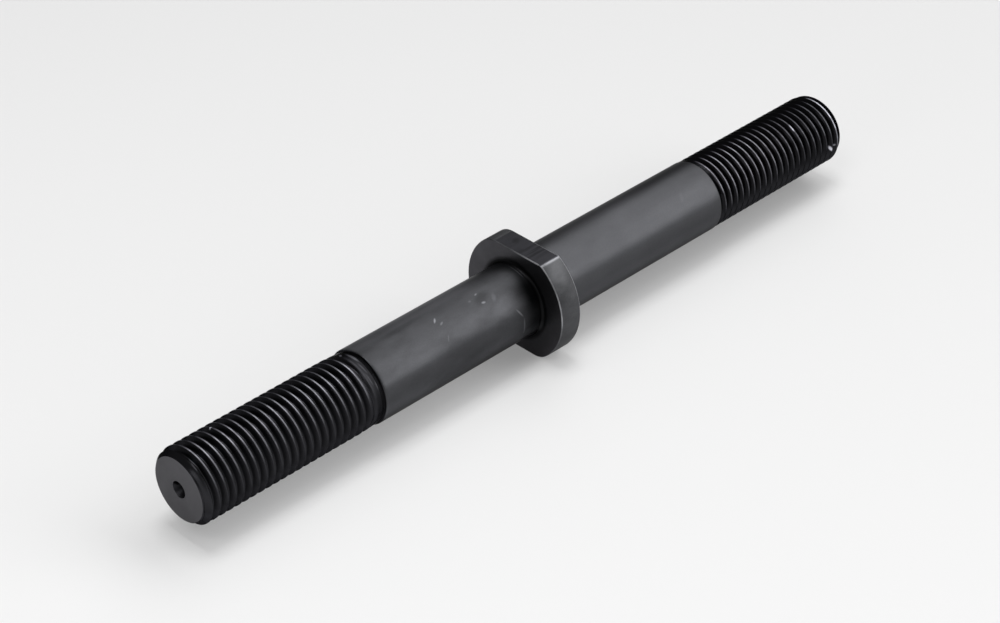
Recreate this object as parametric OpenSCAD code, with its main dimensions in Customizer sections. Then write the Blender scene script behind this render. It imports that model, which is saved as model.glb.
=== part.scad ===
// Double-ended stud with a two-flat shoulder collar. Lengths in millimetres.
// The axis runs along X, the middle of the length is at the origin, and the flats face up and down.

/* [Thread and shank] */
// diameter of the plain shanks, and nominal diameter of the threads
thread_d = 30; // [24:1:36]
// how far the thread crests lie below the shanks
crest_gap = 0.2; // [0.05:0.05:0.3]
// axial distance from one crest to the next
pitch = 3.5; // [3:0.5:4]
// bevel at both ends, measured along the axis and along the radius
end_bevel = 2.2; // [1.5:0.1:3]

/* [Short side] */
// from the end face to the start of the plain shank
short_thread = 83; // [60:0.5:110]
// plain shank between the thread and the collar
short_shank = 79.5; // [40:0.5:120]
// how far the neck and the last crests of the short side lie below the shank
crest_drop = 0.55; // [0.3:0.05:0.8]
// length over which they fall
crest_fall = 6; // [4:0.5:20]
// plain neck between the last turn and the shank, with the ring
neck = 3; // [2.5:0.5:8]
// width of the ring turned down beside the shank, where the thread rolls stop short
ring_w = 1.2; // [0.8:0.1:1.5]
// how far the ring lies below the shank
ring_drop = 1; // [0.9:0.05:1.2]
// from the end face to the middle of the first groove, along the underside
short_lead = 1.6; // [0:0.1:1.6]

/* [Long side] */
// plain shank between the collar and the thread
long_shank = 91.5; // [40:0.5:140]
// from the end of the plain shank to the end face
long_thread = 77; // [60:0.5:110]
// angle at which the groove leaves the plain shank
long_lead = 135; // [0:5:360]

/* [Collar] */
// diameter across the round sides
collar_d = 50; // [44:1:60]
// thickness along the axis
collar_t = 10; // [6:0.5:16]
// distance across the two flats
across_flats = 42; // [40:1:44]
// bevel around both faces
collar_bevel = 0.5; // [0.3:0.1:1.5]
// fillet radius where the shanks meet the collar
fillet = 2; // [0.5:0.5:2]

/* [Centre holes] */
// diameter of the straight drilling
pilot_d = 3.2; // [2:0.1:4]
// diameter of the countersink at the end face
mouth_d = 6.7; // [5:0.1:8]
// full depth of the drilling
pilot_depth = 7; // [5:0.5:12]

/* [Hidden] */
$fn = 96;
r = thread_d / 2;
crest_r = r - crest_gap;
short_side = short_thread + short_shank;
long_side = long_shank + long_thread;
total = short_side + collar_t + long_side;
long_start = short_side + collar_t + long_shank;
collar_r = collar_d / 2;

// 60 degree thread: full triangle height, groove depth and half widths
tri_h = pitch * sqrt(3) / 2;
depth = 17 / 24 * tri_h;
clear = 0.2;
root_half = pitch * 7 / 16 - depth * tan(30);
mouth_half = root_half + (depth + clear) * tan(30);
seg = 28;
// how far the groove is lifted to leave the bar at a run-out
lift_out = depth + clear + 0.1;
// how far the ring's wall leans towards the shank
ring_edge = 0.2;
// turns over which a groove fades: at the short neck, and at the long shank
short_fade = 1.25;
long_fade = 0.4;

// quarter fillet, from the shank up to the collar face at z, as radius and height;
// up is 1 where the collar lies above the fillet and -1 where it lies below
fillet_steps = 6;
function fillet_pts(z, up) =
    [for (i = [0:fillet_steps]) let (a = 90 * i / fillet_steps)
        [r + fillet * (1 - cos(a)), z - up * fillet * (1 - sin(a))]];
function reversed(v) = [for (i = [len(v) - 1:-1:0]) v[i]];

// half section of the bar, as radius and height
function bar_pts() = concat(
    [[0, 0], [crest_r - end_bevel, 0], [crest_r, end_bevel],
     [crest_r, short_thread - neck - crest_fall],
     [r - crest_drop, short_thread - neck],
     [r - crest_drop, short_thread - ring_w - (ring_drop - crest_drop)],
     [r - ring_drop, short_thread - ring_w],
     [r - ring_drop, short_thread - ring_edge],
     [r, short_thread]],
    fillet_pts(short_side, 1),
    reversed(fillet_pts(short_side + collar_t, -1)),
    [[r, long_start], [crest_r, long_start + crest_gap],
     [crest_r, total - end_bevel], [crest_r - end_bevel, total], [0, total]]);

// one ring of the groove's cutter, at angle a and axial position z, lifted by k
function groove_ring(a, z, k) =
    [for (p = [[r - depth, -root_half], [r - depth, root_half],
               [r + clear, mouth_half], [r + clear, -mouth_half]])
        [(p[0] + k) * cos(a), (p[0] + k) * sin(a), z + p[1]]];

// share of the lift at ring i of n: 1 clear of the bar, 0 at full depth
function fade(i, n, n_in, n_out) =
    max(0, n_in > 0 ? 1 - i / n_in : 0, n_out > 0 ? 1 - (n - i) / n_out : 0);

// solid that cuts a right-hand groove from z0, at angle a0, over n rings
module groove(a0, z0, n, n_in, n_out) {
    pts = [for (i = [0:n])
        each groove_ring(a0 + 360 * i / seg, z0 + pitch * i / seg, lift_out * fade(i, n, n_in, n_out))];
    sides = [for (i = [0:n - 1], j = [0:3])
        let (p = 4 * i + j, q = 4 * i + (j + 1) % 4)
        each [[p, p + 4, q], [q, p + 4, q + 4]]];
    e = 4 * n;
    polyhedron(points = pts,
        faces = concat([[0, 1, 2], [0, 2, 3]], sides, [[e + 2, e + 1, e], [e + 3, e + 2, e]]));
}

// groove of the short side: in at the end face, out at the neck
module short_groove() {
    z0 = short_lead - pitch;
    n = floor((short_thread - neck - z0) / pitch * seg);
    groove(0, z0, n, 0, short_fade * seg);
}

// groove of the long side: in at the plain shank, whose edge it keeps square, out at the end face
module long_groove() {
    z0 = long_start + pitch * (7 / 16 - long_fade);
    n = ceil((total + mouth_half - z0) / pitch * seg);
    groove(long_lead, z0, n, long_fade * seg, 0);
}

module bar() {
    rotate_extrude() polygon(bar_pts());
}

// bevelled disc with two opposite flats
module collar() {
    b = collar_bevel;
    flat_r = across_flats / 2;
    translate([0, 0, short_side]) intersection() {
        rotate_extrude()
            polygon([[0, 0], [collar_r - b, 0], [collar_r, b], [collar_r, collar_t - b],
                     [collar_r - b, collar_t], [0, collar_t]]);
        translate([0, collar_r + 1, 0]) rotate([90, 0, 0]) linear_extrude(2 * collar_r + 2)
            polygon([[-flat_r + b, 0], [flat_r - b, 0], [flat_r, b], [flat_r, collar_t - b],
                     [flat_r - b, collar_t], [-flat_r + b, collar_t], [-flat_r, collar_t - b],
                     [-flat_r, b]]);
    }
}

// drilled and countersunk centre, mouth at z = 0, going up
module centre_hole() {
    cone_h = (mouth_d - pilot_d) / 2 / tan(30);
    translate([0, 0, -1]) cylinder(d = pilot_d, h = pilot_depth + 1);
    translate([0, 0, -0.01]) cylinder(d1 = mouth_d, d2 = pilot_d, h = cone_h);
}

module stud() {
    color("#3b3c40") translate([-total / 2, 0, 0]) rotate([0, 90, 0]) difference() {
        union() {
            bar();
            collar();
        }
        short_groove();
        long_groove();
        centre_hole();
        translate([0, 0, total]) rotate([180, 0, 0]) centre_hole();
    }
}

stud();
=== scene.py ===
from math import atan2, cos, degrees, hypot, pi, radians, sin, sqrt, tan

import bmesh
import bpy
from mathutils import Matrix, Vector


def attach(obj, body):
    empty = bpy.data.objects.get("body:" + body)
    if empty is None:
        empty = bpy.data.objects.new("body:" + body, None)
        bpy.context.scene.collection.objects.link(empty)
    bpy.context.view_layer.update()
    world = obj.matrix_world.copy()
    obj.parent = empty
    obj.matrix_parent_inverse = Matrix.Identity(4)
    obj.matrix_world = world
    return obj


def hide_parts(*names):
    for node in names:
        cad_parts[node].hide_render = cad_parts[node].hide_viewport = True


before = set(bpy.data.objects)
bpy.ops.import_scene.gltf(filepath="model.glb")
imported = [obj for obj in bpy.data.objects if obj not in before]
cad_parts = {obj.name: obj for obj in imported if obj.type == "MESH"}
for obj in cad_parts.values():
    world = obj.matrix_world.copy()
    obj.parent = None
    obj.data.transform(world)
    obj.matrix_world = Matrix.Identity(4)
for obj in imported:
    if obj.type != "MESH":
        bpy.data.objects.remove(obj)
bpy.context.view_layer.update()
mm = 0.001
print("frame loaded")


# the stud, in millimetres, with x counted from the near end face
bar = {
    "length": 341.0,
    "radius": 15.0,
    "crestRadius": 14.8,
    "pitch": 3.5,
    "steps": 112,            # points around the bar
    "crestRound": 0.26,
    "rootRound": 0.50,
    "runOutLift": 0.3,       # how far a groove that has run out is lifted clear of the bar
    "endBevel": 2.2,
    "bevelBlend": 0.9,       # softens the line where the bevel meets the crests
    "edge": 0.15,            # rounding of the end faces
    "shortThread": 83.0,     # end face to plain shank
    "crestDrop": 0.55,       # the last crests lie this much below the shank
    "crestFall": 6.0,        # length over which they fall
    "neck": 3.0,
    "gridInNeck": 0.5,       # how far the thread's grid reaches into the neck
    "ringWidth": 1.2,        # turned down beside the shank
    "ringDrop": 1.0,
    "ringEdge": 0.2,
    "bendSpan": 0.1,         # half length and depth of the small bends in the neck
    "bendDip": 0.08,
    # rounded start of the short shank: distance past it and depth
    "shankEdge": ((-0.05, 0.22), (0.03, 0.09), (0.12, 0.03), (0.25, 0.0), (1.5, 0.0)),
    "shortLead": 1.6,        # end face to the groove's middle on the underside
    "shortFade": 1.25,       # turns over which the groove runs out
    "longShankEnd": 264.0,
    "longEdge": 0.15,        # length and depth of the long shank's rounded end
    "longEdgeDip": 0.03,
    "longLead": 135.0,       # angle from the underside where the groove leaves the shank
    "longFade": 0.4,
    "fillet": 1.2,           # beside the collar
    "plainRun": 1.5,         # last stretch of plain shank before its shape changes
    "seatRun": 0.5,          # the same on the collar's face, beyond the fillet
    "pilotRadius": 1.6,      # centre hole, with its wider mouth
    "mouthRadius": 3.35,
    "mouthBend": 0.06,       # half width and depth of the mouth's rounded edge
    "mouthDip": 0.1,
    "mouthRun": 0.5,
    "pilotDepth": 7.0,
    "sharpFrom": 30.0,       # angle between two faces from which the line between them is sharp
    "mergeWithin": 0.012,    # above the rounding error of a whole turn, below every real step
}

collar = {
    "at": 162.5,
    "radius": 24.96,
    "thick": 10.0,
    "flatHalf": 21.0,        # from the axis to a flat
    "bevel": 0.5,
    "bevelSteps": 4,
    "cornerRound": 9.0,      # where the flats meet the round sides
    "cornerCuts": 6,         # cuts that round a corner
    "crispCorner": 0.3,      # bevel of the upper corner on the camera's side, which stays sharp
}

threadDepth = 17 / 24 * bar["pitch"] * sqrt(3) / 2
# half width of the level part of a crest
crestLevel = bar["pitch"] / 16 - bar["crestRound"] * tan(radians(30))
# where each groove's middle starts
shortStart = bar["shortLead"] - bar["pitch"]
longStart = bar["longShankEnd"] + bar["pitch"] * (7 / 16 - bar["longFade"])
halfLength = bar["length"] / 2
collarMiddle = collar["at"] + collar["thick"] / 2


def profileOffsets():
    # distances from a crest, along the bar, where the thread needs a point
    p = bar["pitch"]
    crest = [crestLevel + bar["crestRound"] * sin(radians(a)) for a in (0, 20, 40, 60)]
    root = [p / 2 - bar["rootRound"] * sin(radians(a)) for a in (60, 40, 20)]
    half = crest + [(crest[-1] + root[0]) / 2] + root
    return sorted([-d for d in half] + half + [p / 2])


def grooveDepth(d):
    # depth below the full radius at distance d from the crest; the flanks rise at 60 degrees
    p, rc, rr = bar["pitch"], bar["crestRound"], bar["rootRound"]
    if d <= crestLevel:
        return 0.0
    if d <= crestLevel + rc * sin(radians(60)):
        return rc - sqrt(rc * rc - (d - crestLevel) ** 2)
    if d >= p / 2 - rr * sin(radians(60)):
        return threadDepth - rr + sqrt(max(0.0, rr * rr - (p / 2 - d) ** 2))
    return (d - p / 16) * tan(radians(60))


def crestLine(x):
    # outer radius of the threaded stretches at x, before the grooves
    r = bar["crestRadius"]
    fallStart = bar["shortThread"] - bar["neck"] - bar["crestFall"]
    if fallStart < x < bar["shortThread"]:
        drop = r - (bar["radius"] - bar["crestDrop"])
        r -= drop * min(1.0, (x - fallStart) / bar["crestFall"])
    bevelled = bar["crestRadius"] - bar["endBevel"] + min(x, bar["length"] - x)
    soft = max(0.0, bar["bevelBlend"] - abs(bevelled - r))
    return min(bevelled, r) - soft * soft / (4 * bar["bevelBlend"])


def grooveAt(x, angle, start, startAngle, turns, fadeIn, fadeOut):
    # how far the groove lies below the full radius, or a negative number where there is none
    p = bar["pitch"]
    turn = round((x - start) / p - (angle - startAngle) / 360) + (angle - startAngle) / 360
    fade = 0.0
    if fadeIn:
        fade = max(fade, 1 - turn / fadeIn)
    if fadeOut:
        fade = max(fade, 1 - (turns - turn) / fadeOut)
    if turn < 0 or turn > turns:
        return -1.0
    d = p / 2 - abs(x - start - p * turn)
    return grooveDepth(d) - fade * (threadDepth + bar["runOutLift"])


def spinWire(bm, points, lead=0.0):
    # points are (x, radius) in mm; the wire starts on the underside and goes once round the axis
    verts = [bm.verts.new((x * mm, 0, -r * mm)) for x, r in points]
    edges = [bm.edges.new(pair) for pair in zip(verts, verts[1:])]
    return bmesh.ops.spin(bm, geom=verts + edges, cent=(0, 0, 0), axis=(1, 0, 0),
                          dvec=(lead / bar["steps"] * mm, 0, 0), angle=2 * pi,
                          steps=bar["steps"], use_merge=False)


def addThread(bm, xFrom, xTo, start, startAngle, turns, fadeIn, fadeOut):
    # the grid follows the helix, and what runs past the ends is gathered onto the end rings
    p = bar["pitch"]
    offsets = profileOffsets()
    crest = start - p * startAngle / 360 + p / 2
    while crest > xFrom - p:
        crest -= p
    wire = []
    while crest < xTo + p:
        wire += [(crest + d, bar["radius"]) for d in offsets]
        crest += p
    before = set(bm.verts)
    spinWire(bm, wire, p)
    for v in bm.verts:
        if v in before:
            continue
        x = min(max(v.co.x / mm, xFrom), xTo)
        a = atan2(v.co.y, -v.co.z)
        deg = a * 180 / pi % 360
        # the last ring lies on the first
        if deg > 359.99:
            deg = 0.0
        cut = grooveAt(x, deg, start, startAngle, turns, fadeIn, fadeOut)
        if x in (xFrom, xTo):
            cut = -1.0
        r = min(crestLine(x), bar["radius"] - cut)
        v.co = Vector((x, r * sin(a), -r * cos(a))) * mm


def filletPoints(at, side):
    # from the shank up into the collar face, or back down with side -1
    f, r = bar["fillet"], bar["radius"]
    pts = [(at - side * (f + bar["plainRun"]), r)]
    pts += [(at - side * f * (1 - sin(radians(a))), r + f * (1 - cos(radians(a))))
            for a in range(0, 91, 10)]
    pts.append((at, r + f + bar["seatRun"]))
    return pts if side > 0 else pts[::-1]


def endPoints(x, side):
    # from the bottom of the centre hole, up its 60 degree countersink, to the rim of the end face
    b, e = bar, bar["edge"]
    cone = (b["mouthRadius"] - b["pilotRadius"]) / tan(radians(30))
    rim = crestLine(e)
    pts = [(b["pilotDepth"], 0), (b["pilotDepth"], b["pilotRadius"]), (cone, b["pilotRadius"]),
           (b["mouthDip"], b["mouthRadius"] - b["mouthBend"]), (0, b["mouthRadius"] + b["mouthBend"]),
           (0, b["mouthRadius"] + b["mouthRun"]), (0, rim - e * 4),
           (0, rim - e * 1.6), (e * 0.25, rim - e * 0.75), (e, rim)]
    return [(x + side * px, r) for px, r in pts]


def middlePoints(xFrom, xTo):
    # neck, short shank, collar blank and long shank
    b, c = bar, collar
    low = b["radius"] - b["crestDrop"]
    deep = b["radius"] - b["ringDrop"]
    step = b["shortThread"]
    ring = step - b["ringWidth"]
    slope = ring - low + deep
    span, dip = b["bendSpan"], b["bendDip"]
    pts = [(xFrom, low), (slope - span, low), (slope + span, low - dip),
           (ring - span, deep + dip), (ring + span, deep),
           (step - b["ringEdge"] - span, deep), (step - b["ringEdge"], deep + dip)]
    pts += [(step + past, b["radius"] - depth) for past, depth in b["shankEdge"]]
    pts += filletPoints(c["at"], 1)
    pts += [(c["at"], c["radius"]), (c["at"] + c["thick"], c["radius"])]
    pts += filletPoints(c["at"] + c["thick"], -1)
    pts += [(xTo - b["plainRun"], b["radius"]), (xTo - b["longEdge"], b["radius"]),
            (xTo, b["radius"] - b["longEdgeDip"])]
    return pts


def buildBar(bm):
    b = bar
    p, e = b["pitch"], b["edge"]
    neckFrom = b["shortThread"] - b["neck"]
    gridEnd = neckFrom + b["gridInNeck"]
    longFrom = b["longShankEnd"] + b["longEdge"]
    spinWire(bm, endPoints(0, 1))
    addThread(bm, e, gridEnd, shortStart, 0, (neckFrom - shortStart) / p, 0, b["shortFade"])
    spinWire(bm, middlePoints(gridEnd, b["longShankEnd"]))
    edgeRing = (b["longShankEnd"], b["radius"] - b["longEdgeDip"]), (longFrom, b["crestRadius"])
    spinWire(bm, edgeRing)
    addThread(bm, longFrom, b["length"] - e, longStart, b["longLead"],
              (b["length"] + p - longStart) / p, b["longFade"], 0)
    spinWire(bm, endPoints(b["length"], -1)[::-1])
    bmesh.ops.remove_doubles(bm, verts=bm.verts, dist=b["mergeWithin"] * mm)


def cutFlats(bm):
    # the two flats are sliced off the collar blank, then its corners and rims are rounded
    c = collar
    ends = (c["at"], c["at"] + c["thick"])
    near = 0.01
    beyondFillet = bar["radius"] + bar["fillet"] + bar["seatRun"] - 0.1

    def onCollar(v):
        wide = hypot(v.co.y, v.co.z) / mm > beyondFillet
        return wide and ends[0] - near < v.co.x / mm < ends[1] + near

    def cutOff(point, normal):
        faces = [f for f in bm.faces if all(onCollar(v) for v in f.verts)]
        edges = list({e for f in faces for e in f.edges})
        verts = list({v for f in faces for v in f.verts})
        cut = bmesh.ops.bisect_plane(bm, geom=faces + edges + verts, plane_co=Vector(point) * mm,
                                     plane_no=normal, clear_outer=True)
        rim = [g for g in cut["geom_cut"] if isinstance(g, bmesh.types.BMEdge)]
        bmesh.ops.holes_fill(bm, edges=rim, sides=0)

    for side in (1, -1):
        cutOff((0, 0, side * c["flatHalf"]), (0, 0, side))
    # three corners are rounded by cuts that touch an arc
    arc = c["cornerRound"]
    arcZ = c["flatHalf"] - arc
    arcY = sqrt((c["radius"] - arc) ** 2 - arcZ ** 2)
    first = degrees(atan2(arcZ, arcY))
    for sideY, sideZ in ((1, 1), (1, -1), (-1, -1)):
        for k in range(c["cornerCuts"]):
            a = radians(first + (90 - first) * (k + 0.5) / c["cornerCuts"])
            cutOff((0, sideY * (arcY + arc * cos(a)), sideZ * (arcZ + arc * sin(a))),
                   (0, sideY * cos(a), sideZ * sin(a)))

    def picked(test):
        return [e for e in bm.edges if all(onCollar(v) for v in e.verts) and test(*e.verts)]

    def atEnd(v):
        return min(abs(v.co.x / mm - x) for x in ends) < near

    def onFlat(z):
        return abs(z / mm - c["flatHalf"]) < near

    def outer(v):
        return onFlat(abs(v.co.z)) or hypot(v.co.y, v.co.z) / mm > c["flatHalf"] + 0.1

    def isCrisp(v, w):
        # the line between the upper flat and the round side towards the camera
        runsAlong = abs(v.co.x - w.co.x) / mm > c["thick"] / 2
        return runsAlong and v.co.y < 0 and onFlat(v.co.z) and onFlat(w.co.z)

    def isRim(v, w):
        runsRound = abs(v.co.x - w.co.x) / mm < near
        return runsRound and atEnd(v) and atEnd(w) and outer(v) and outer(w)

    for test, size in ((isCrisp, c["crispCorner"]), (isRim, c["bevel"])):
        bmesh.ops.bevel(bm, geom=picked(test), offset=size * mm, affect="EDGES",
                        segments=c["bevelSteps"], profile=0.5, material=-1)


def zoneOf(face):
    # which finish a face takes
    c = collar
    spot = face.calc_center_median() / mm
    r = hypot(spot.y, spot.z)
    if r > bar["radius"] + bar["fillet"] - 0.1:
        if abs(face.normal.x) > 0.98:
            return "faced"
        onFlat = abs(face.normal.z) > 0.99 and abs(abs(spot.z) - c["flatHalf"]) < 0.02
        return "flat" if onFlat else "rim"
    endHalf = bar["edge"] / 2
    if spot.x < endHalf or spot.x > bar["length"] - endHalf:
        return "end"
    # the centre hole lies in the short thread's stretch and takes its dark finish, painted shade in the
    # hole
    inThread = spot.x < bar["shortThread"] - 0.03 or spot.x > bar["longShankEnd"] + 0.1
    return "thread" if inThread else "shank"


def makeStud(finishes):
    bm = bmesh.new()
    buildBar(bm)
    cutFlats(bm)
    bmesh.ops.recalc_face_normals(bm, faces=bm.faces)
    bm.normal_update()
    names = list(finishes)
    for f in bm.faces:
        f.smooth = True
        f.material_index = names.index(zoneOf(f))
    # level faces keep a sharp line round them, except where the fillet runs into the collar
    plane = {names.index(name) for name in ("faced", "flat", "end")}
    filletEdge = {names.index("faced"), names.index("shank")}
    for e in bm.edges:
        beside = {f.material_index for f in e.link_faces}
        crease = len(beside) > 1 and beside & plane and beside != filletEdge
        e.smooth = e.calc_face_angle(0.0) < radians(bar["sharpFrom"]) and not crease
    bmesh.ops.translate(bm, verts=bm.verts, vec=(-halfLength * mm, 0, 0))
    openEdges = sum(1 for e in bm.edges if len(e.link_faces) != 2)
    print("open edges:", openEdges, "faces:", len(bm.faces),
          "volume mm3:", round(bm.calc_volume() / mm ** 3))
    mesh = bpy.data.meshes.new("studBody")
    bm.to_mesh(mesh)
    bm.free()
    piece = bpy.data.objects.new("studBody", mesh)
    bpy.context.scene.collection.objects.link(piece)
    for material in finishes.values():
        mesh.materials.append(material)
    return piece


# node helpers
def feed(tree, value, socket):
    if isinstance(value, bpy.types.NodeSocket):
        tree.links.new(value, socket)
    else:
        socket.default_value = value


def calc(tree, operation, a, b=0.0, c=0.0):
    node = tree.nodes.new("ShaderNodeMath")
    node.operation = operation
    for value, socket in zip((a, b, c), node.inputs):
        feed(tree, value, socket)
    return node.outputs[0]


def product(tree, first, *others):
    for value in others:
        first = calc(tree, "MULTIPLY", first, value)
    return first


def fade(tree, value, low, high, start=0.0, end=1.0, step="SMOOTHSTEP"):
    # from start at low to end at high
    node = tree.nodes.new("ShaderNodeMapRange")
    node.interpolation_type = step
    names = ("Value", "From Min", "From Max", "To Min", "To Max")
    for socket, v in zip(names, (value, low, high, start, end)):
        feed(tree, v, node.inputs[socket])
    return node.outputs["Result"]


def noise(tree, where, size, stretch=(1, 1, 1), detail=3.0, rough=0.5, shift=0.0):
    # soft noise whose features are about size mm across, longer by stretch along each axis
    place = tree.nodes.new("ShaderNodeMapping")
    place.inputs["Location"].default_value = (shift, shift * 0.7, shift * 1.3)
    place.inputs["Scale"].default_value = [1 / (size * s) for s in stretch]
    tree.links.new(where, place.inputs["Vector"])
    node = tree.nodes.new("ShaderNodeTexNoise")
    node.inputs["Scale"].default_value = 1.0
    node.inputs["Detail"].default_value = detail
    node.inputs["Roughness"].default_value = rough
    tree.links.new(place.outputs[0], node.inputs["Vector"])
    return node.outputs["Fac"]


def blend(tree, amount, a, b):
    # a where amount is 0, b where it is 1
    node = tree.nodes.new("ShaderNodeMix")
    for value, name in ((amount, "Factor"), (a, "A"), (b, "B")):
        feed(tree, value, node.inputs[name])
    return node.outputs["Result"]


def newMaterial(name):
    mat = bpy.data.materials.new(name)
    mat.use_nodes = True
    tree = mat.node_tree
    return mat, tree, tree.nodes["Principled BSDF"]


def grey(level):
    return (level, level, level, 1)


def surfacePlace(tree):
    # where: object coordinates in mm; x: from the near end face; r: distance from the axis;
    # height: degrees round the axis, 0 level on the camera's side and 90 straight up
    coords = tree.nodes.new("ShaderNodeTexCoord")
    scale = tree.nodes.new("ShaderNodeVectorMath")
    scale.operation = "SCALE"
    scale.inputs["Scale"].default_value = 1 / mm
    tree.links.new(coords.outputs["Object"], scale.inputs[0])
    parts = tree.nodes.new("ShaderNodeSeparateXYZ")
    tree.links.new(scale.outputs[0], parts.inputs[0])
    fromMiddle, y, z = parts.outputs
    turn = calc(tree, "ARCTAN2", z, calc(tree, "MULTIPLY", y, -1))
    return {
        "where": scale.outputs[0],
        "x": calc(tree, "ADD", fromMiddle, halfLength),
        "y": y,
        "z": z,
        "r": calc(tree, "SQRT", calc(tree, "ADD", product(tree, y, y), product(tree, z, z))),
        "height": calc(tree, "MULTIPLY", turn, degrees(1)),
        "isShort": calc(tree, "LESS_THAN", fromMiddle, 0),
    }


# finishes of the stud: black oxide over turned, rolled and milled steel, with painted light and shade in
# their tones
# a tuple of two or four numbers is a fade: from, to, and the values at both if not 0 and 1

# noises that mottle the skin
mottle = {
    "clouds": {"size": 22, "stretch": (1.6, 1, 1), "detail": 4.0, "rough": 0.55, "shift": 3.1},
    "patches": {"size": 7, "stretch": (2.2, 1, 1), "rough": 0.6, "shift": 11.7},
    "grain": {"size": 0.55, "detail": 2.0, "rough": 0.7},
    "wear": {"size": 3.5, "shift": 5.0},
    "streaks": {"size": 1.5, "stretch": (14, 1, 1), "detail": 2.0, "rough": 0.6, "shift": 2.2},
}

skin = {
    "clouds": (0.3, 0.7),
    "patches": (0.3, 0.75, 0.0, 0.6),
    "middle": 0.75,                     # taken off, so that the mottling is light and dark
    "grainMiddle": 0.5,
    # the long side is handled less, so its skin is more even
    "longEven": (160.5, 190.5, 1.0, 0.45),
    "roughShift": -0.05,
    "least": 0.1,
}

# by x or height, where nothing else is said
shankTones = {
    # painted shade: the short side, the tops and the long side's back are darker
    "shortShade": 0.12,
    "topShade": (50, 75, 0.0, 0.14),
    "farTop": (215, 240),
    "back": (88, 102),
    "backShade": (222, 244, 0.12, 0.30),
    # painted highlight: lighter along the back of the short side, away from the collar
    "paintedBackLight": (84, 112, 0.0, 1.1),
    "paintedBackLightEnd": (132, 150, 1.0, 0.0),
    # the collar shades the last stretch before it, least along the top
    "nearCollar": (145, 159, 0.0, 0.74),
    "nearTop": (44, 78, 1.0, 0.15),
    "nearLow": (8, 32, 0.6, 1.0),
    "nearUnder": (-25, -5, -1.2, 1.0),
    # painted light and shade: the underside is a little lighter, its last strip darker
    "underLight": (-20, 5, 1.42, 1.0),
    "lowestShade": (-34, -24, 0.5, 1.0),
    "filletShade": (5.4, 7.2, 0.15, 1.0),   # painted shade in the fillets, by the distance from the collar's middle
}

threadTones = {
    "paintedGrooveLight": (20, 55, 0.28, 0.0),         # painted light: the grooves on the camera's side are lighter
    "oilRough": (25, 60, 0.22, 0.0),
    # painted shade in the long side's grooves and in the short side's neck
    "longGrooveShade": (-24, 0, 1.3, 0.52),
    "neck": (78.5, 80, 0.0, 0.45),
    "neckTop": (60, 85, 1.0, 0.3),
}

# how much lighter the crests are, from rubbing and from painted highlight, along the top and elsewhere,
# on the short and on the long side
crestWearAndHighlight = {
    "shortTop": 8.0,
    "shortSide": 3.2,
    "longTop": 7.0,
    "longSide": 4.4,
    "farTop": 2.8,                      # towards the far end
    "farSide": 2.6,
    "far": (290, 315),
    "topStart": (50, 70),
    "topEnd": (82, 98, 1.0, 0.3),
    "longLow": (-18, 15),
    "longBack": (88, 106, 1.0, 0.0),
    "shortLow": (14, 38, 0.1, 1.0),
    "last": (333.5, 335, 1.0, 7.0),     # painted highlight: the last crests are lightest
    "bevel": (338.0, 338.8, 1.0, 0.0),
    "line": (0.12, 0.42, 1.0, 0.0),     # by the distance from a crest's middle
    "skin": (-0.30, -0.15),             # by the depth below the crests
}

flatTones = {
    "streaks": (0.42, 0.60, -0.40, 0.12),
    "streaksAt": -4.5,                  # y of their middle
    "streaksEnd": (2.0, 5.0, 1.0, 0.25),
}

facedTones = {
    "away": (-10, 6, 0.62, 1.0),        # painted shade: the side towards the camera is darker
    "inner": (0.1, 1.6, 0.3, 1.0),      # painted shade beside the fillet, by the distance from the fillet
}

edgeWearAndHighlight = {
    "lift": 5.0,                        # how much lighter a rubbed edge with its painted highlight is
    "wear": (0.35, 0.6, 0.6, 1.1),
    "outer": (-0.50, -0.15),            # by the depth below the flats and the round sides
    "rim": (-0.60, -0.20),
    "cornerFlat": (-0.60, -0.10),
    "cornerRound": (-0.50, -0.10),
    "corner": 0.6,
    # the painted highlight: strongest on the camera's side and the upper half
    "back": (-8, 2, 1.0, 0.15),
    "low": (-7, 4, 0.15, 1.0),
}

# the edge tint below 1 keeps the skin dark at a glancing angle
zones = {
    "shank": {"color": (0.065, 0.066, 0.071), "metal": 0.90, "rough": 0.35, "tint": 0.40,
              "cloud": 0.28, "grain": 0.30, "bump": 0.010},
    "thread": {"color": (0.0238, 0.0238, 0.0265), "metal": 0.96, "rough": 0.25, "tint": 0.28,
               "cloud": 0.25, "grain": 0.25, "bump": 0.006},
    "rim": {"color": (0.070, 0.071, 0.075), "metal": 0.85, "rough": 0.46, "tint": 0.45,
            "cloud": 0.55, "grain": 0.45, "bump": 0.016},
    "flat": {"color": (0.029, 0.029, 0.033), "metal": 0.85, "rough": 0.36, "tint": 0.45,
             "cloud": 0.30, "grain": 0.20, "bump": 0.008},
    "faced": {"color": (0.064, 0.063, 0.069), "metal": 0.85, "rough": 0.34, "tint": 0.45,
              "cloud": 0.25, "grain": 0.20, "bump": 0.008},
    "end": {"color": (0.098, 0.097, 0.104), "metal": 0.85, "rough": 0.38, "tint": 0.45,
            "cloud": 0.15, "grain": 0.20, "bump": 0.006},
}

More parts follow.
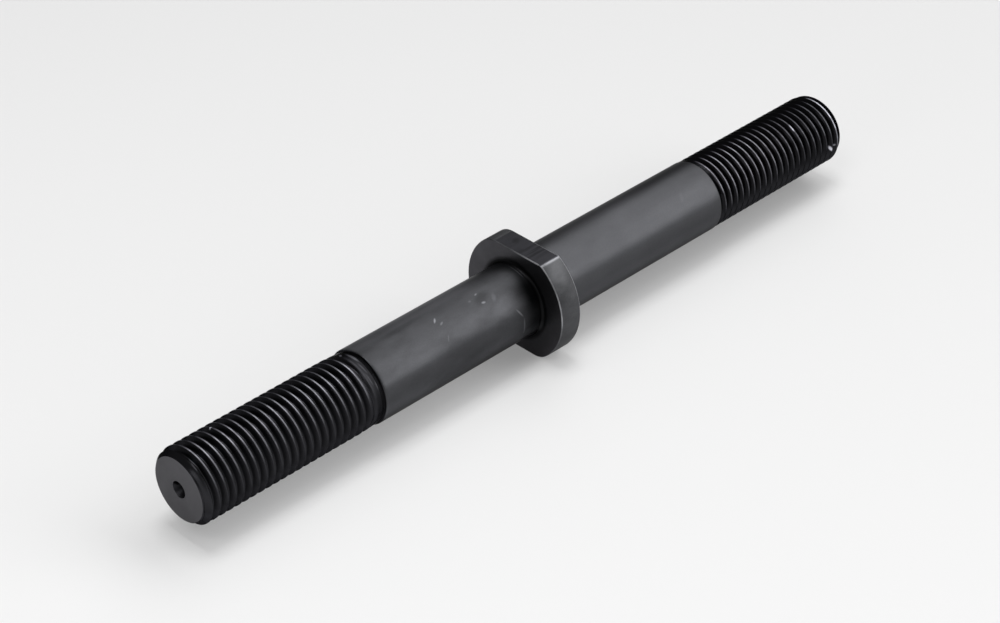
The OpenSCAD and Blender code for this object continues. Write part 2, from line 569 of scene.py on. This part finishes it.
# small marks: x, height in degrees, radius, half length, half width, turn from the bar's
# direction, and how much lighter or darker they are
marks = {
    "shank": [
        (117.0, 73.7, 15.0, 1.7, 0.50, 47, 2.6),
        (118.4, 64.9, 15.0, 1.3, 0.50, 25, 1.1),
        (139.0, 78.4, 15.0, 1.0, 0.45, 20, 1.6),
        (139.0, 61.4, 15.0, 1.2, 0.65, -10, 1.8),
        (134.6, 73.2, 15.0, 0.9, 0.60, 0, 0.6),
        (144.2, 61.0, 15.0, 2.4, 1.30, 60, 0.35),
        (117.2, 41.6, 15.0, 1.8, 0.40, 60, 0.40),
        (139.6, 69.0, 15.0, 5.2, 3.00, 20, -0.26),
        (147.0, 46.0, 15.0, 9.0, 4.00, 15, 0.22),
        (127.0, 44.0, 15.0, 12.0, 4.0, 5, 0.14),
        (104.0, 92.0, 15.0, 16.0, 2.0, 3, -0.20),
        (151.4, 22.0, 15.0, 2.9, 0.50, -59, 1.5),
        (152.8, -2.0, 15.0, 5.0, 0.50, 90, 1.3),
        # painted highlight: a thin arc where the fillet starts
        (160.6, 80.0, 15.0, 6.0, 0.35, 90, 2.0),
        (246.0, 52.0, 15.0, 3.0, 1.20, 60, 0.12),
    ],
    "thread": [
        # painted glints: in the centre hole, on two crests and at the far end
        (0.8, -20.8, 2.5, 0.7, 0.90, 0, 20.0),
        (18.8, 107.5, 14.8, 0.8, 0.60, 0, 30.0),
        (315.6, 61.5, 14.8, 2.3, 0.55, 88, 16.0),
        (333.4, -5.0, 14.3, 2.5, 0.80, -54, 45.0),
        (335.4, -7.0, 14.3, 2.0, 0.80, 48, 45.0),
        # painted soft highlight across the top of the neck, with a brighter fleck
        (80.6, 92.0, 14.45, 5.0, 0.80, 92, 3.0),
        (80.0, 66.0, 14.45, 3.5, 0.45, 94, 2.0),
        (78.8, 108.0, 14.5, 1.4, 0.70, 60, 8.0),
        (79.6, 45.0, 14.45, 3.5, 0.30, 93, 1.5),
        (81.0, 34.0, 14.45, 2.5, 0.35, 90, 2.0),
        # painted highlight: a bright streak on a crest before the neck
        (66.8, 22.0, 14.8, 2.4, 0.40, 90, 9.0),
    ],
    "flat": [
        (164.5, 90.0, 21.0, 2.5, 1.5, 0, -0.15),
        (168.3, 104.0, 21.6, 3.0, 2.0, 40, -0.30),
    ],
    "rim": [
        (167.0, 45.0, 24.96, 6.0, 6.0, 0, 0.30),
        (168.6, 36.0, 24.96, 3.0, 2.4, 20, 0.16),
        (169.6, 20.0, 24.96, 2.0, 1.5, 60, 0.15),
    ],
}
markDepth = 1.5              # how far below and above the skin a mark reaches
markFade = (0.3, 1.0)        # where a mark starts to fade and where it ends, as a share of its size


def mark(tree, where, spot):
    x, height, radius, long, wide, turn, amount = spot
    a = radians(90 - height)
    turned = Matrix.Rotation(a, 3, "X") @ Matrix.Rotation(radians(turn), 3, "Z")
    place = tree.nodes.new("ShaderNodeMapping")
    place.vector_type = "TEXTURE"
    place.inputs["Location"].default_value = (x - halfLength, -radius * sin(a), radius * cos(a))
    place.inputs["Rotation"].default_value = turned.to_euler()
    place.inputs["Scale"].default_value = (long, wide, markDepth)
    tree.links.new(where, place.inputs["Vector"])
    far = tree.nodes.new("ShaderNodeVectorMath")
    far.operation = "LENGTH"
    tree.links.new(place.outputs[0], far.inputs[0])
    return fade(tree, far.outputs["Value"], *markFade, amount, 0.0)


def wearPatches(tree, at):
    return fade(tree, noise(tree, at["where"], **mottle["wear"]), *edgeWearAndHighlight["wear"])


def withWornAndHighlitEdges(tree, at, tone):
    # the collar's outer edges, lighter where handling has thinned the oxide and with a painted
    # highlight, most on the camera's side, least low down
    wear = edgeWearAndHighlight
    fromMiddle = calc(tree, "ABSOLUTE", calc(tree, "SUBTRACT", at["x"], collarMiddle))
    toFace = calc(tree, "SUBTRACT", fromMiddle, collar["thick"] / 2)
    toFlat = calc(tree, "SUBTRACT", calc(tree, "ABSOLUTE", at["z"]), collar["flatHalf"])
    toRound = calc(tree, "SUBTRACT", at["r"], collar["radius"])
    outer = fade(tree, calc(tree, "MAXIMUM", toFlat, toRound), *wear["outer"])
    rims = product(tree, fade(tree, toFace, *wear["rim"]), outer)
    corners = product(tree, fade(tree, toFlat, *wear["cornerFlat"]),
                      fade(tree, toRound, *wear["cornerRound"]), wear["corner"])
    edge = product(tree, calc(tree, "MAXIMUM", rims, corners), fade(tree, at["y"], *wear["back"]),
                   fade(tree, at["z"], *wear["low"]), wearPatches(tree, at))
    return calc(tree, "MULTIPLY_ADD", edge, wear["lift"] - 1, tone)


def crestDistance(tree, at, start, startAngle):
    # distance along the bar, in mm, from the middle of the nearest crest
    p = bar["pitch"]
    turns = calc(tree, "MULTIPLY_ADD", at["x"], 1 / p, -start / p - (270 - startAngle) / 360)
    turns = calc(tree, "MULTIPLY_ADD", at["height"], 1 / 360, turns)
    share = calc(tree, "SUBTRACT", calc(tree, "FRACT", turns), 0.5)
    return product(tree, calc(tree, "ABSOLUTE", share), p)


def crestLift(tree, at):
    # how much rubbing and painted highlight add to a crest's tone: most along the top, least towards the
    # far end
    rubAndHighlight = crestWearAndHighlight
    x, height, isShort = at["x"], at["height"], at["isShort"]

    def along(short, long, far):
        value = fade(tree, x, *rubAndHighlight["far"], rubAndHighlight[long] - 1, rubAndHighlight[far] - 1)
        return blend(tree, isShort, value, rubAndHighlight[short] - 1)

    top = product(tree, fade(tree, height, *rubAndHighlight["topStart"]), fade(tree, height, *rubAndHighlight["topEnd"]))
    side = along("shortSide", "longSide", "farSide")
    more = calc(tree, "SUBTRACT", along("shortTop", "longTop", "farTop"), side)
    lift = calc(tree, "MULTIPLY_ADD", top, more, side)
    low = product(tree, fade(tree, height, *rubAndHighlight["longLow"]), fade(tree, height, *rubAndHighlight["longBack"]))
    low = blend(tree, isShort, low, fade(tree, height, *rubAndHighlight["shortLow"]))
    return product(tree, lift, low, fade(tree, x, *rubAndHighlight["last"]), fade(tree, x, *rubAndHighlight["bevel"]))


def shankTone(tree, at, tone):
    t = shankTones
    x, height, isShort = at["x"], at["height"], at["isShort"]
    # painted shade: darker along the top of the short side and the back of the long side
    up = fade(tree, height, *t["topShade"])
    back = product(tree, fade(tree, height, *t["back"]), fade(tree, x, *t["backShade"]))
    longShade = calc(tree, "MULTIPLY_ADD", up, fade(tree, x, *t["farTop"]), back)
    paintedShade = blend(tree, isShort, longShade, calc(tree, "ADD", up, t["shortShade"]))
    # painted highlight along the back of the short side
    paintedBackLight = product(tree, fade(tree, height, *t["paintedBackLight"]), fade(tree, x, *t["paintedBackLightEnd"]))
    level = calc(tree, "ADD", calc(tree, "SUBTRACT", 1, paintedShade), paintedBackLight)
    near = product(tree, fade(tree, x, *t["nearCollar"]), isShort, fade(tree, height, *t["nearTop"]),
                   fade(tree, height, *t["nearLow"]), fade(tree, height, *t["nearUnder"]))
    gap = calc(tree, "ABSOLUTE", calc(tree, "SUBTRACT", x, collarMiddle))
    # painted light on the underside, painted shade on its last strip and in the fillets
    return product(tree, tone, level, calc(tree, "SUBTRACT", 1, near),
                   fade(tree, height, *t["underLight"]), fade(tree, height, *t["lowestShade"]),
                   fade(tree, gap, *t["filletShade"]))


def threadTone(tree, at, tone):
    t = threadTones
    x, height, isShort = at["x"], at["height"], at["isShort"]
    across = blend(tree, isShort, crestDistance(tree, at, longStart, bar["longLead"]),
                   crestDistance(tree, at, shortStart, 0))
    depth = calc(tree, "SUBTRACT", at["r"], bar["crestRadius"])
    # the crests: lighter from rubbing, with a painted highlight
    crest = product(tree, fade(tree, across, *crestWearAndHighlight["line"]), fade(tree, depth, *crestWearAndHighlight["skin"]),
                    wearPatches(tree, at), crestLift(tree, at))
    # painted light in the short side's grooves on the camera's side
    paintedGrooveLight = product(tree, isShort, fade(tree, height, *t["paintedGrooveLight"]))
    # painted shade: the grooves of the long side are darker from the level up and lighter low down, and
    # the neck of the short side is darker, least along the top
    groove = calc(tree, "MAXIMUM", fade(tree, height, *t["longGrooveShade"]), isShort)
    neck = product(tree, fade(tree, x, *t["neck"]), isShort, fade(tree, height, *t["neckTop"]))
    below = product(tree, calc(tree, "ADD", tone, paintedGrooveLight), calc(tree, "SUBTRACT", groove, neck))
    return calc(tree, "ADD", below, crest)


def flatTone(tree, at, tone):
    # dark streaks left by the milling
    t = flatTones
    streaks = noise(tree, at["where"], **mottle["streaks"])
    gap = calc(tree, "ABSOLUTE", calc(tree, "SUBTRACT", at["y"], t["streaksAt"]))
    dark = product(tree, fade(tree, streaks, *t["streaks"]), fade(tree, gap, *t["streaksEnd"]))
    return withWornAndHighlitEdges(tree, at, calc(tree, "ADD", tone, dark))


def facedTone(tree, at, tone):
    t = facedTones
    gap = calc(tree, "SUBTRACT", at["r"], bar["radius"] + bar["fillet"])
    # painted shade on the camera's side and beside the fillet
    tone = product(tree, tone, fade(tree, at["y"], *t["away"]), fade(tree, gap, *t["inner"]))
    return withWornAndHighlitEdges(tree, at, tone)


# what each finish does to the plain mottled tone, painted light and shade included
zoneTones = {
    "shank": shankTone,
    "thread": threadTone,
    "rim": withWornAndHighlitEdges,
    "flat": flatTone,
    "faced": facedTone,
}


def oxideFinish(zone):
    look = zones[zone]
    mat, tree, shader = newMaterial(zone + "Oxide")
    at = surfacePlace(tree)
    clouds = noise(tree, at["where"], **mottle["clouds"])
    patches = noise(tree, at["where"], **mottle["patches"])
    grain = noise(tree, at["where"], **mottle["grain"])
    shade = calc(tree, "ADD", fade(tree, clouds, *skin["clouds"]), fade(tree, patches, *skin["patches"]))
    shade = calc(tree, "SUBTRACT", shade, skin["middle"])
    shade = product(tree, shade, fade(tree, at["x"], *skin["longEven"]))
    tone = calc(tree, "MULTIPLY_ADD", shade, look["cloud"], 1.0)
    fine = calc(tree, "SUBTRACT", grain, skin["grainMiddle"])
    tone = calc(tree, "MULTIPLY_ADD", fine, look["grain"], tone)
    for spot in marks.get(zone, []):
        tone = calc(tree, "ADD", tone, mark(tree, at["where"], spot))
    if zone in zoneTones:
        tone = zoneTones[zone](tree, at, tone)
    color = tree.nodes.new("ShaderNodeVectorMath")
    color.operation = "SCALE"
    color.inputs[0].default_value = look["color"]
    tree.links.new(calc(tree, "MAXIMUM", tone, skin["least"]), color.inputs["Scale"])
    tree.links.new(color.outputs[0], shader.inputs["Base Color"])
    rough = calc(tree, "MULTIPLY_ADD", shade, skin["roughShift"], look["rough"])
    if zone == "thread":
        oily = fade(tree, at["height"], *threadTones["oilRough"])
        rough = calc(tree, "MULTIPLY_ADD", at["isShort"], oily, rough)
    tree.links.new(rough, shader.inputs["Roughness"])
    shader.inputs["Metallic"].default_value = look["metal"]
    shader.inputs["Specular Tint"].default_value = grey(look["tint"])
    bump = tree.nodes.new("ShaderNodeBump")
    bump.inputs["Strength"].default_value = 1.0
    bump.inputs["Distance"].default_value = look["bump"] * mm
    tree.links.new(grain, bump.inputs["Height"])
    tree.links.new(bump.outputs[0], shader.inputs["Normal"])
    return mat


finishes = {zone: oxideFinish(zone) for zone in zones}
studPiece = makeStud(finishes)
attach(studPiece, "root")
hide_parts("stud")
print("stud built")


# floor: partly lit, which holds the shadow, and partly glowing for the eye and for reflections
floorSet = {
    "size": 12.0,
    "height": -0.021,
    "color": 0.605,
    "rough": 0.95,
    "glow": 0.212,           # at the stud
    "glowSlope": -0.258,     # per metre away from the camera
    "glowSpan": 0.6,         # the glow is even beyond this distance from the stud
}


def makeFloor():
    f = floorSet
    bm = bmesh.new()
    bmesh.ops.create_grid(bm, x_segments=1, y_segments=1, size=f["size"] / 2,
                          matrix=Matrix.Translation((0, 0, f["height"])))
    mesh = bpy.data.meshes.new("floor")
    bm.to_mesh(mesh)
    bm.free()
    piece = bpy.data.objects.new("floor", mesh)
    bpy.context.scene.collection.objects.link(piece)
    mat, tree, shader = newMaterial("palePaper")
    shader.inputs["Base Color"].default_value = grey(f["color"])
    shader.inputs["Roughness"].default_value = f["rough"]
    shader.inputs["Specular IOR Level"].default_value = 0.0
    coords = tree.nodes.new("ShaderNodeTexCoord")
    away = tree.nodes.new("ShaderNodeVectorMath")
    away.operation = "DOT_PRODUCT"
    away.inputs[1].default_value = (sqrt(0.5), sqrt(0.5), 0)
    tree.links.new(coords.outputs["Object"], away.inputs[0])
    span = f["glowSpan"]
    rise = f["glowSlope"] * span
    glow = fade(tree, away.outputs["Value"], -span, span, f["glow"] - rise, f["glow"] + rise, "LINEAR")
    seen = tree.nodes.new("ShaderNodeLightPath").outputs
    rays = calc(tree, "MAXIMUM", seen["Is Camera Ray"], seen["Is Glossy Ray"])
    rays = calc(tree, "MAXIMUM", rays, seen["Is Transmission Ray"])
    shader.inputs["Emission Color"].default_value = grey(1)
    tree.links.new(product(tree, rays, glow), shader.inputs["Emission Strength"])
    mesh.materials.append(mat)
    return piece


makeFloor()
print("floor built")


# light: a bow of soft boxes beyond the stud along +X, a key overhead and two weak fills
bow = {
    "distance": 4.5,
    "fromAxis": 52.0,        # angle between the bow and the stud's axis
    "along": 2.7,
    "around": 1.45,
    # angle round the axis (0 level on the camera's side, 90 straight up) and watts
    "boxes": ((0, 8), (20, 30), (40, 29), (60, 29), (80, 24), (100, 22), (120, 21), (140, 10),
              (160, 5)),
}
softBoxes = [
    # place, size, watts
    ((0.05, 0.25, 3.0), 1.15, 34.0),
    ((-1.1, -0.31, 1.76), 0.7, 5.0),
    ((-1.8, -0.3, 0.5), 0.7, 2.5),
]
worldLevel = 0.20


def addSoftBox(name, place, width, height, watts):
    light = bpy.data.lights.new(name, "AREA")
    light.shape = "RECTANGLE"
    light.size, light.size_y = width, height
    light.energy = watts
    lamp = bpy.data.objects.new(name, light)
    # the width runs along the stud as seen from it
    back = Vector(place).normalized()
    side = (Vector((1, 0, 0)) - back * back.x).normalized()
    turned = Matrix((side, back.cross(side), back)).transposed().to_4x4()
    lamp.matrix_world = Matrix.Translation(place) @ turned
    bpy.context.scene.collection.objects.link(lamp)


for height, watts in bow["boxes"]:
    slant, up = radians(bow["fromAxis"]), radians(height)
    spot = Vector((cos(slant), -sin(slant) * cos(up), sin(slant) * sin(up))) * bow["distance"]
    addSoftBox("bow%d" % height, spot, bow["along"], bow["around"], watts)
for number, (place, size, watts) in enumerate(softBoxes):
    addSoftBox("softBox%d" % number, place, size, size, watts)

world = bpy.data.worlds.new("studio")
bpy.context.scene.world = world
world.use_nodes = True
world.node_tree.nodes["Background"].inputs["Color"].default_value = grey(worldLevel)


# camera, solved from the photograph's outlines
camera = {
    "place": (-0.58281, -0.56368, 0.55850),
    "turn": (54.958, -0.2005, -45.036),
    "lens": 93.579,
    "sensor": 36.0,
    "clipStart": 0.01,
}
camData = bpy.data.cameras.new("photoCamera")
camData.sensor_width = camera["sensor"]
camData.lens = camera["lens"]
camData.clip_start = camera["clipStart"]
cam = bpy.data.objects.new("photoCamera", camData)
cam.location = camera["place"]
cam.rotation_euler = [radians(a) for a in camera["turn"]]
bpy.context.scene.collection.objects.link(cam)
bpy.context.scene.camera = cam
bpy.context.scene.view_settings.view_transform = "Standard"
print("camera and light set")
